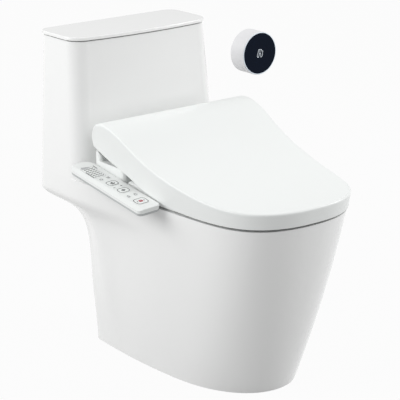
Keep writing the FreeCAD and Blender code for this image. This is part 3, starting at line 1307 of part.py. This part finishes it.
# ---------------------------------------------------------------- all pieces
def pieces():
    """Every piece by its name, still measured from the tank's back."""
    shell = cover()
    made = {
        **ceramic_castings(),
        "tank_lid": tank_lid(),
        "lid_pads": lid_pads(),
        "fill_valve": fill_valve(),
        "tank_gaskets": Part.makeCompound([fill_gasket(), flush_gasket()]),
        "fill_nut": fill_nut(),
        "fill_float": fill_float(),
        "flush_tower": flush_tower(),
        "flush_canister": flush_canister(),
        "flush_seal": flush_seal(),
        "flush_actuator": flush_actuator(),
        "refill_tube": refill_tube(),
        "mounting_plate": mounting_plate(),
        "seat_bolts": at_seat_bolts(seat_bolt),
        "seat_bolt_nuts": at_seat_bolts(seat_bolt_nut),
        "seat_base": seat_base(),
        "seat_hood": seat_hood(),
        "hinge_pins": hinge_pins(),
        "cover": shell,
        "cover_bumpers": cover_bumpers(shell),
        "seat_upper": seat_upper(),
        "seat_lower": seat_lower(),
        "seat_heater": seat_heater(),
        "seat_bumpers": seat_bumpers(),
        "nozzle_rear_wash": nozzle(-1),
        "nozzle_front_wash": nozzle(1),
        "nozzle_guide": nozzle_guide(),
        "nozzle_guard": nozzle_guard(),
        "nozzle_motors": nozzle_motors(),
        "water_heater": water_heater(),
        "water_pump": water_pump(),
        "inlet_valve": inlet_valve(),
        "power_inlet": power_inlet(),
        "blower_housing": blower_housing(),
        "blower_wheel": blower_wheel(),
        "dryer_outlet": dryer_outlet(),
        "deodoriser_filter": deodoriser_filter(),
        "control_board": control_board(),
        "panel_arm": panel_arm(),
        "panel_top": panel_place(panel_top()),
        "panel_base": panel_place(panel_base()),
        "panel_board": panel_place(panel_board()),
        "sensor_wall_plate": sensor_wall_plate(),
        "sensor_housing": sensor_housing(),
        "sensor_ring": sensor_ring(),
        "sensor_glass": sensor_glass(),
        "sensor_board": sensor_board(),
        "sensor_battery": sensor_battery(),
    }
    for key in KEYS:
        made[key[0]] = panel_place(key_cap(key))
    return made


def main():
    os.makedirs("parts", exist_ok=True)
    for name, shape in pieces().items():
        shape.translate(V(0, ROUGH_IN, 0))
        shape.exportStep(os.path.join("parts", name + ".step"))
        print(f"{name}: {len(shape.Solids)} solid(s), {shape.Volume / 1000:.1f} cm3, valid {shape.isValid()}")


main()
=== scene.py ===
import json
import math

import bmesh
import bpy
from mathutils import Matrix, Vector


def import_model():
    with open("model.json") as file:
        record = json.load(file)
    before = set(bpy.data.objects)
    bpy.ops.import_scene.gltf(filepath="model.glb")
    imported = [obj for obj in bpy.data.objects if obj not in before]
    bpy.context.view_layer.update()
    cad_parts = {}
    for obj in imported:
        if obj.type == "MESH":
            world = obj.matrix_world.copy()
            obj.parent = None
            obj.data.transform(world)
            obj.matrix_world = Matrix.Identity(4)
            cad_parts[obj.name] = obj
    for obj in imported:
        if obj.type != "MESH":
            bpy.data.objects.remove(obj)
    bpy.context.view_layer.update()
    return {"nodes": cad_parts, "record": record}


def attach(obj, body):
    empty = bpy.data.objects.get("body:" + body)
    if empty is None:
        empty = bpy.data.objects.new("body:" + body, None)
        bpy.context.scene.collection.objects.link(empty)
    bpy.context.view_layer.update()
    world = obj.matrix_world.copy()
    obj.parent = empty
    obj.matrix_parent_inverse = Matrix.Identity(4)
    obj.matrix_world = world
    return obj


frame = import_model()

MM = 0.001

# Camera, solved from the photograph in the part's frame
CAMERA_AT = (-2.1880, -2.7557, 1.4524)
CAMERA_LOOKS_AT = (0.04574, 0.02859, 0.330)
CAMERA_LENS = 152.2

# Control panel: middle of its top face in metres, and its fall to the front and outwards in degrees;
# how far keys and ink stand over that face in millimetres
PANEL_CENTRE = (-0.212, -0.003, 0.422)
PANEL_FALL = 8.2
PANEL_ROLL = 3.5
KEY_RISE = 0.5
PRINT_LIFT = 0.06         # keeps the ink clear of the surface under it

# Touchless flush sensor: middle of its glass, which faces -Y, and how far its ink stands off it
SENSOR_GLASS = (0.424, 0.2697, 0.567)
GLASS_LIFT = 0.15

# Studio: each soft box's name, place and power in watts, then what they share
LAMPS = (("lamp_left", (-3.04, 0.54, 1.99), 39.0),
         ("lamp_behind", (-2.32, 1.95, 2.10), 21.0),
         ("lamp_right", (2.68, -1.55, 1.99), 52.0))
LAMP_AIM = (0, 0, 0.35)
LAMP_SIZE = 1.6
WORLD_LEVEL = 0.675
FLOOR_LEVEL = 0.955
SKY_LEVEL = 0.97          # beyond the floor, for the camera only
FLOOR_SIZE = 6.0
FLOOR_DROP = 0.0002       # keeps the floor clear of the part's foot

# Surfaces
GLOSS_DRIFT = 0.12        # share by which roughness drifts up and down
COAT_ROUGHNESS = 0.04
BRUSH_STRETCH = (1.0, 14.0, 14.0)
MITRE_LIMIT = 0.4         # keeps an acute corner of a stroke from growing a spike


# ---------------------------------------------------------------- materials
def node(tree, kind, **settings):
    """Adds a shader node and sets its inputs; an underscore stands for a space in an input's name."""
    made = tree.nodes.new(kind)
    for name, value in settings.items():
        made.inputs[name.replace("_", " ")].default_value = value
    return made


def mapped(tree, source, low, high):
    """Noise value from 0 to 1 spread between two levels."""
    spread = tree.nodes.new("ShaderNodeMapRange")
    spread.inputs["To Min"].default_value = low
    spread.inputs["To Max"].default_value = high
    tree.links.new(source, spread.inputs["Value"])
    return spread.outputs["Result"]


def finish(name, color, roughness, shade=0.03, cloud=6.0, grain=900.0, grain_height=0.00001,
           wave=0.0, wave_scale=25.0, metallic=0.0, coat=0.0, ior=1.5, brushed=False, glow=0.0):
    """Moulded, glazed, printed or metal surface: clouded colour, uneven gloss and a fine bump.

    shade is how far the colour drifts, cloud its scale per metre, grain the fine texture's scale
    and wave the height in metres of the slow unevenness that a casting or glaze has. A brushed
    surface has its noise drawn out along x.
    """
    material = bpy.data.materials.new(name)
    material.use_nodes = True
    tree = material.node_tree
    shader = tree.nodes["Principled BSDF"]
    shader.inputs["Metallic"].default_value = metallic
    shader.inputs["IOR"].default_value = ior
    shader.inputs["Coat Weight"].default_value = coat
    shader.inputs["Coat Roughness"].default_value = COAT_ROUGHNESS
    place = tree.nodes.new("ShaderNodeTexCoord").outputs["Object"]
    if brushed:
        stretch = node(tree, "ShaderNodeMapping", Scale=BRUSH_STRETCH)
        tree.links.new(place, stretch.inputs["Vector"])
        place = stretch.outputs["Vector"]
    clouds = node(tree, "ShaderNodeTexNoise", Scale=cloud, Detail=3.0)
    fine = node(tree, "ShaderNodeTexNoise", Scale=grain, Detail=2.0)
    slow = node(tree, "ShaderNodeTexNoise", Scale=wave_scale, Detail=1.0)
    for noise in (clouds, fine, slow):
        tree.links.new(place, noise.inputs["Vector"])
    mix = tree.nodes.new("ShaderNodeMix")
    mix.data_type = "RGBA"
    mix.inputs["A"].default_value = [c * (1 - shade) for c in color] + [1.0]
    mix.inputs["B"].default_value = [min(c * (1 + shade), 1.0) for c in color] + [1.0]
    tree.links.new(mapped(tree, clouds.outputs["Fac"], 0.0, 1.0), mix.inputs["Factor"])
    tree.links.new(mix.outputs["Result"], shader.inputs["Base Color"])
    rough = mapped(tree, slow.outputs["Fac"], roughness * (1 - GLOSS_DRIFT), roughness * (1 + GLOSS_DRIFT))
    tree.links.new(rough, shader.inputs["Roughness"])
    bump = node(tree, "ShaderNodeBump", Strength=1.0, Distance=grain_height)
    tree.links.new(fine.outputs["Fac"], bump.inputs["Height"])
    if wave:
        ripple = node(tree, "ShaderNodeBump", Strength=1.0, Distance=wave)
        tree.links.new(slow.outputs["Fac"], ripple.inputs["Height"])
        tree.links.new(ripple.outputs["Normal"], bump.inputs["Normal"])
    tree.links.new(bump.outputs["Normal"], shader.inputs["Normal"])
    if glow:
        tree.links.new(mix.outputs["Result"], shader.inputs["Emission Color"])
        shader.inputs["Emission Strength"].default_value = glow
    return material


def board_finish(name):
    """Green solder resist with a faint grid of copper tracks under it."""
    green = (0.012, 0.10, 0.045)
    material = finish(name, green, 0.35, shade=0.10, cloud=60.0, coat=0.3)
    tree = material.node_tree
    shader = tree.nodes["Principled BSDF"]
    place = tree.nodes.new("ShaderNodeTexCoord").outputs["Object"]
    tracks = tree.nodes.new("ShaderNodeTexBrick")
    tracks.inputs["Scale"].default_value = 120.0
    tracks.inputs["Mortar Size"].default_value = 0.06
    tracks.inputs["Color1"].default_value = green + (1,)
    tracks.inputs["Color2"].default_value = (0.010, 0.085, 0.04, 1)
    tracks.inputs["Mortar"].default_value = (0.03, 0.19, 0.09, 1)
    tree.links.new(place, tracks.inputs["Vector"])
    tree.links.new(tracks.outputs["Color"], shader.inputs["Base Color"])
    return material


FINISHES = {
    "glazed_china": finish("glaze", (0.90, 0.905, 0.90), 0.15, shade=0.006, cloud=3.0, grain=500.0,
                           grain_height=0.000004, wave=0.00025, wave_scale=9.0, coat=0.4, ior=1.5),
    "white_plastic": finish("white_plastic", (0.865, 0.885, 0.875), 0.32, shade=0.006, cloud=5.0,
                            grain=1500.0, grain_height=0.000006, wave=0.00001, wave_scale=14.0),
    "grey_plastic": finish("grey_plastic", (0.50, 0.52, 0.52), 0.42, shade=0.03, grain_height=0.00002),
    "valve_plastic": finish("valve_plastic", (0.80, 0.81, 0.79), 0.38, shade=0.02, grain_height=0.00002),
    "actuator_plastic": finish("actuator_plastic", (0.06, 0.07, 0.08), 0.45, shade=0.08,
                               grain_height=0.00003),
    "damper_plastic": finish("damper_plastic", (0.025, 0.025, 0.028), 0.45, shade=0.10,
                             grain_height=0.00003),
    "hose": finish("hose", (0.62, 0.65, 0.67), 0.35, shade=0.03, cloud=40.0),
    "rubber": finish("rubber", (0.66, 0.66, 0.65), 0.7, shade=0.04, cloud=50.0, grain_height=0.00003),
    "steel": finish("steel", (0.60, 0.60, 0.61), 0.24, shade=0.05, cloud=40.0, grain=600.0,
                    grain_height=0.00001, metallic=1.0, brushed=True),
    "brass": finish("brass", (0.62, 0.62, 0.63), 0.2, shade=0.04, cloud=60.0, metallic=1.0),
    "heater_foil": finish("heater_foil", (0.70, 0.71, 0.72), 0.35, shade=0.06, cloud=90.0, grain=240.0,
                          grain_height=0.0001, metallic=1.0),
    "heater_case": finish("heater_case", (0.55, 0.56, 0.58), 0.4, shade=0.04, cloud=30.0),
    "battery_case": finish("battery_case", (0.30, 0.31, 0.32), 0.5, shade=0.06, cloud=60.0),
    "dark_glass": finish("dark_glass", (0.0020, 0.0055, 0.0150), 0.12, shade=0.12, cloud=25.0,
                         grain_height=0.000001, ior=1.15),
    "light_ring": finish("light_ring", (0.74, 0.83, 0.92), 0.3, shade=0.02, cloud=30.0, glow=0.15),
    "circuit_board": board_finish("solder_resist"),
}
# The sensor's drum is the same white plastic; this darker, slightly bluer copy of it is painted shade.
SENSOR_WHITE_WITH_PAINTED_SHADE = finish("sensor_white_painted_shade", (0.815, 0.815, 0.83), 0.36, shade=0.01, cloud=20.0, grain=1500.0,
                      grain_height=0.000006)
PRINT_GREY = finish("print_grey", (0.045, 0.048, 0.052), 0.5, shade=0.10, cloud=400.0)
PRINT_SOFT = finish("print_soft", (0.55, 0.56, 0.57), 0.5, shade=0.06, cloud=400.0)
PRINT_RED = finish("print_red", (0.42, 0.012, 0.035), 0.5, shade=0.10, cloud=400.0)
PRINT_PALE = finish("print_pale", (0.74, 0.80, 0.86), 0.4, shade=0.05, cloud=400.0, glow=0.25)


def dress_nodes():
    """Gives every CAD node its slot's finish, and the sensor's drum a darker copy of the white plastic as
    painted shade.
    """
    for part in frame["record"]["subparts"]:
        mesh = frame["nodes"][part["node"]].data
        mesh.materials.clear()
        mesh.materials.append(FINISHES[part["material_slot"]])
    frame["nodes"]["sensor_housing"].data.materials[0] = SENSOR_WHITE_WITH_PAINTED_SHADE


# ---------------------------------------------------------------- printed marks
def ribbon(mesh, points, width, closed=False):
    """Adds a flat stroke of even width along points in the plane, with mitred corners."""
    count = len(points)
    sides = []
    for i, here in enumerate(points):
        before = points[i - 1] if closed or i else here
        after = points[(i + 1) % count] if closed or i < count - 1 else here
        into = (here - before).normalized() if here != before else (after - here).normalized()
        out = (after - here).normalized() if after != here else into
        normal = Vector((-(into + out).y, (into + out).x)).normalized()
        reach = width / 2 / max(normal.dot(Vector((-into.y, into.x))), MITRE_LIMIT)
        sides.append([mesh.verts.new((here + normal * reach * s).to_3d()) for s in (-1, 1)])
    pairs = list(zip(sides, sides[1:])) + ([(sides[-1], sides[0])] if closed else [])
    for a, b in pairs:
        mesh.faces.new((a[0], b[0], b[1], a[1]))


def dot(mesh, centre, radius, sides=20):
    """Adds a filled disc."""
    ring = arc(centre, radius, 0, 360, sides)[:-1]
    mesh.faces.new([mesh.verts.new(point.to_3d()) for point in ring])


def arc(centre, radius, start, end, steps=16, squash=1.0):
    """Points round part of a circle, in degrees; squash flattens it in y."""
    points = []
    for i in range(steps + 1):
        angle = math.radians(start + (end - start) * i / steps)
        away = Vector((radius * math.cos(angle), radius * squash * math.sin(angle)))
        points.append(Vector(centre) + away)
    return points


def capsule(centre, width, height, radius, steps=6):
    """Rounded rectangle as a closed ring of points."""
    points = []
    for i, (sx, sy) in enumerate(((1, 1), (-1, 1), (-1, -1), (1, -1))):
        corner = (centre[0] + sx * (width / 2 - radius), centre[1] + sy * (height / 2 - radius))
        points += arc(corner, radius, 90 * i, 90 * i + 90, steps)
    return points


def line(*points):
    """Points given one by one."""
    return [Vector(p) for p in points]


def printed(name, draw, ink, place, body):
    """A mark drawn in millimetres in its own plane, laid on the object by a matrix."""
    mesh = bmesh.new()
    draw(mesh)
    data = bpy.data.meshes.new(name)
    mesh.to_mesh(data)
    mesh.free()
    data.transform(place @ Matrix.Scale(MM, 4))
    data.materials.append(ink)
    made = bpy.data.objects.new(name, data)
    bpy.context.scene.collection.objects.link(made)
    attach(made, body)


def panel_place(lift):
    """Matrix from the panel's own plane, x across and y to the rear, to the part's frame."""
    fall = Matrix.Rotation(math.radians(PANEL_FALL), 4, "X")
    roll = Matrix.Rotation(math.radians(-PANEL_ROLL), 4, "Y")
    return Matrix.Translation(PANEL_CENTRE) @ fall @ roll @ Matrix.Translation((0, 0, lift * MM))


def draw_spray(mesh, x, y):
    """Seat in section with drops that rise to it."""
    ribbon(mesh, arc((x, y + 1.2), 5.6, 195, 345, squash=0.7), 2.0)
    dot(mesh, (x, y + 1.6), 2.6)
    for shift in (-3.0, 0.0, 3.0):
        ribbon(mesh, line((x + shift * 0.7, y - 5.8), (x + shift, y - 3.2)), 1.5)


def draw_front_spray(mesh, x, y):
    """Diamond of spray with a dot in it."""
    ribbon(mesh, line((x - 4.4, y), (x, y + 3.8), (x + 4.4, y), (x, y - 3.8)), 1.4, closed=True)
    dot(mesh, (x, y), 2.3)


def draw_power(mesh, x, y):
    """Open ring with an upright stroke."""
    ribbon(mesh, arc((x, y), 3.2, 125, 415), 1.2)
    ribbon(mesh, line((x, y + 0.2), (x, y + 4.0)), 1.2)


def draw_waves(mesh, x, y):
    """Warm air as three wavy lines."""
    steps, swing, rise = 8, 0.7, 6.8
    for shift in (-2.6, 0.0, 2.6):
        points = []
        for t in range(steps + 1):
            sway = swing * math.sin(t * math.tau / steps)
            points.append(Vector((x + shift + sway, y - rise / 2 + rise * t / steps)))
        ribbon(mesh, points, 1.1)


def draw_minus(mesh, x, y):
    ribbon(mesh, line((x - 3.2, y), (x + 3.2, y)), 1.3)


def draw_plus(mesh, x, y):
    draw_minus(mesh, x, y)
    ribbon(mesh, line((x, y - 3.2), (x, y + 3.2)), 1.3)


def draw_drop(mesh, x, y):
    """Water drop over a line of warmth."""
    ribbon(mesh, line((x, y + 4.0)) + arc((x, y + 0.6), 2.2, 35, -215), 1.1, closed=True)
    draw_minus(mesh, x, y - 3.5)


def draw_warm_seat(mesh, x, y):
    """Seat ring with a line of warmth over it."""
    ribbon(mesh, arc((x, y - 0.8), 3.0, 0, 360, 20, squash=0.8)[:-1], 1.1, closed=True)
    ribbon(mesh, line((x - 2.6, y + 3.6), (x + 2.6, y + 3.6)), 1.1)


def draw_stop(mesh, x, y):
    """Ticks on both sides of the stop square."""
    for side in (-1, 1):
        ribbon(mesh, line((x + side * 7.0, y - 2.2), (x + side * 9.0, y), (x + side * 7.0, y + 2.2)), 1.3)


def draw_stop_square(mesh, x, y):
    """Square whose thick outline fills it."""
    ribbon(mesh, capsule((x, y), 6.0, 5.0, 1.0), 3.2, closed=True)


# key body, offset across, offset to the rear, width, length, mark
KEY_MARKS = (("key_power", -7.0, 34.0, 9.0, 9.0, draw_power),
             ("key_dryer", 11.0, 34.0, 9.0, 9.0, draw_waves),
             ("key_rear_wash", 2.0, 7.0, 27.0, 22.0, draw_spray),
             ("key_minus", -7.0, -13.0, 9.0, 9.0, draw_minus),
             ("key_plus", 11.0, -13.0, 9.0, 9.0, draw_plus),
             ("key_front_wash", 2.0, -33.0, 27.0, 22.0, draw_front_spray),
             ("key_water_warmth", -7.0, -63.0, 9.0, 9.0, draw_drop),
             ("key_seat_warmth", 11.0, -63.0, 9.0, 9.0, draw_warm_seat),
             ("key_stop", 2.0, -94.0, 30.0, 26.0, draw_stop))
STOP_KEY = KEY_MARKS[-1]
SMALL_KEY = 9.0           # keys of this width have no outline
RING_MARGIN = 1.3         # from a key's edge to its outline


def key_print(key):
    """Mark of one key, with an outline on the large keys."""
    body, x, y, width, length, mark = key

    def draw(mesh):
        if width > SMALL_KEY:
            ring = capsule((x, y), width - 2 * RING_MARGIN, length - 2 * RING_MARGIN, 7.0)
            ribbon(mesh, ring, 1.4, closed=True)
        mark(mesh, x, y)
    printed("print_" + body, draw, PRINT_GREY, panel_place(KEY_RISE + PRINT_LIFT), body)


def panel_prints():
    """All ink on the control panel."""
    for key in KEY_MARKS:
        key_print(key)
    stop, x, y = STOP_KEY[:3]
    printed("print_stop_square", lambda mesh: draw_stop_square(mesh, x, y), PRINT_RED,
            panel_place(KEY_RISE + PRINT_LIFT), stop)
    printed("print_lamps", draw_lamps, PRINT_GREY, panel_place(PRINT_LIFT), "toilet")
    printed("print_lamp_window", draw_lamp_window, PRINT_SOFT, panel_place(PRINT_LIFT / 2), "toilet")


def draw_lamps(mesh):
    """Rows of level lamps behind the keys, each with its scale line."""
    first, spacing = 51.0, 8.0
    for row in (-9.0, -1.0, 7.0):
        for i in range(6):
            y = first + spacing * i
            dot(mesh, (row, y), 1.9)
            ribbon(mesh, line((row + 2.4, y - 2.0), (row + 5.0, y + 2.0)), 1.4)
    ribbon(mesh, line((-14.0, 49.0), (-14.0, 80.0)), 2.2)
    ribbon(mesh, line((18.0, 84.0), (18.0, 100.0)), 1.8)


def draw_lamp_window(mesh):
    """Frame round the lamps, with a pale tinted end."""
    ribbon(mesh, capsule((-1.0, 72.0), 31.0, 56.0, 6.0), 1.0, closed=True)
    corners = ((-14.0, 94.0), (-10.0, 106.0), (6.0, 101.0), (8.0, 95.0))
    mesh.faces.new([mesh.verts.new((x, y, 0)) for x, y in corners])


def draw_hand(mesh):
    """Slanted outline of a hand with two fingers marked off."""
    outline = line((-8.5, -7.0), (-3.4, 9.4), (4.8, 9.2), (9.2, 3.6), (7.0, -8.2), (3.4, -9.8),
                   (2.6, -2.0), (-0.4, 0.8), (-2.4, -5.6), (-5.2, -9.8))
    ribbon(mesh, outline, 1.0, closed=True)
    ribbon(mesh, line((0.2, 8.8), (-1.6, 2.2)), 0.8)
    ribbon(mesh, line((4.2, 7.4), (2.8, 1.4)), 0.8)


def sensor_mark():
    """Lays the hand on the sensor's glass."""
    upright = Matrix.Translation(SENSOR_GLASS) @ Matrix.Rotation(math.radians(90), 4, "X")
    place = upright @ Matrix.Translation((0, 0, GLASS_LIFT * MM))
    printed("print_hand", draw_hand, PRINT_PALE, place, "toilet")


# ---------------------------------------------------------------- studio
def stage_material(name, level):
    """Pale floor that the camera and mirrors see as near white, with the object's shadow kept."""
    material = bpy.data.materials.new(name)
    material.use_nodes = True
    tree = material.node_tree
    shader = tree.nodes["Principled BSDF"]
    shader.inputs["Roughness"].default_value = 0.9
    place = tree.nodes.new("ShaderNodeTexCoord").outputs["Object"]
    noise = node(tree, "ShaderNodeTexNoise", Scale=3.0)
    tree.links.new(place, noise.inputs["Vector"])
    ramp = tree.nodes.new("ShaderNodeValToRGB")
    ramp.color_ramp.elements[0].color = (0.33, 0.33, 0.33, 1)
    ramp.color_ramp.elements[1].color = (0.37, 0.37, 0.37, 1)
    tree.links.new(noise.outputs["Fac"], ramp.inputs["Fac"])
    tree.links.new(ramp.outputs["Color"], shader.inputs["Base Color"])
    light = node(tree, "ShaderNodeEmission", Color=(1, 1, 1, 1), Strength=1.0)
    path = tree.nodes.new("ShaderNodeLightPath")
    seen = tree.nodes.new("ShaderNodeMath")
    seen.operation = "MULTIPLY"
    seen.inputs[1].default_value = level
    tree.links.new(seen_directly(tree, path), seen.inputs[0])
    mix = tree.nodes.new("ShaderNodeMixShader")
    tree.links.new(seen.outputs[0], mix.inputs["Fac"])
    tree.links.new(shader.outputs["BSDF"], mix.inputs[1])
    tree.links.new(light.outputs["Emission"], mix.inputs[2])
    tree.links.new(mix.outputs["Shader"], tree.nodes["Material Output"].inputs["Surface"])
    return material


def seen_directly(tree, path):
    """1 for camera, mirror and glass rays."""
    value = path.outputs["Is Camera Ray"]
    for ray in ("Is Glossy Ray", "Is Transmission Ray"):
        larger = tree.nodes.new("ShaderNodeMath")
        larger.operation = "MAXIMUM"
        tree.links.new(value, larger.inputs[0])
        tree.links.new(path.outputs[ray], larger.inputs[1])
        value = larger.outputs[0]
    return value


def floor():
    """Wide plain floor, a hair under the part so that the two don't flicker."""
    mesh = bmesh.new()
    bmesh.ops.create_grid(mesh, x_segments=8, y_segments=8, size=FLOOR_SIZE)
    data = bpy.data.meshes.new("floor")
    mesh.to_mesh(data)
    mesh.free()
    data.materials.append(stage_material("floor_finish", FLOOR_LEVEL))
    made = bpy.data.objects.new("floor", data)
    made.location.z = -FLOOR_DROP
    bpy.context.scene.collection.objects.link(made)


def world():
    """Even light from all round, with a plain white beyond the floor's edge."""
    setting = bpy.data.worlds.new("studio")
    bpy.context.scene.world = setting
    setting.use_nodes = True
    tree = setting.node_tree
    soft = tree.nodes["Background"]
    soft.inputs["Color"].default_value = (1, 1, 1, 1)
    soft.inputs["Strength"].default_value = WORLD_LEVEL
    white = node(tree, "ShaderNodeBackground", Color=(1, 1, 1, 1), Strength=SKY_LEVEL)
    mix = tree.nodes.new("ShaderNodeMixShader")
    path = tree.nodes.new("ShaderNodeLightPath")
    tree.links.new(path.outputs["Is Camera Ray"], mix.inputs["Fac"])
    tree.links.new(soft.outputs["Background"], mix.inputs[1])
    tree.links.new(white.outputs["Background"], mix.inputs[2])
    tree.links.new(mix.outputs["Shader"], tree.nodes["World Output"].inputs["Surface"])


def turned_to(place, aim):
    """Rotation of a lamp or camera at a place that looks at aim."""
    return (Vector(aim) - Vector(place)).to_track_quat("-Z", "Y").to_euler()


def lamps():
    """Soft boxes that stay put when the camera moves."""
    for name, place, power in LAMPS:
        light = bpy.data.lights.new(name, "AREA")
        light.shape = "RECTANGLE"
        light.size = LAMP_SIZE
        light.size_y = LAMP_SIZE
        light.energy = power
        made = bpy.data.objects.new(name, light)
        made.location = place
        made.rotation_euler = turned_to(place, LAMP_AIM)
        bpy.context.scene.collection.objects.link(made)


def camera():
    """Long lens at the photograph's viewpoint."""
    data = bpy.data.cameras.new("camera")
    data.lens = CAMERA_LENS
    data.sensor_width = 36.0
    data.clip_end = 50.0
    made = bpy.data.objects.new("camera", data)
    made.location = CAMERA_AT
    made.rotation_euler = turned_to(CAMERA_AT, CAMERA_LOOKS_AT)
    bpy.context.scene.collection.objects.link(made)
    bpy.context.scene.camera = made


dress_nodes()
panel_prints()
sensor_mark()
floor()
world()
lamps()
camera()
bpy.context.scene.view_settings.view_transform = "Standard"
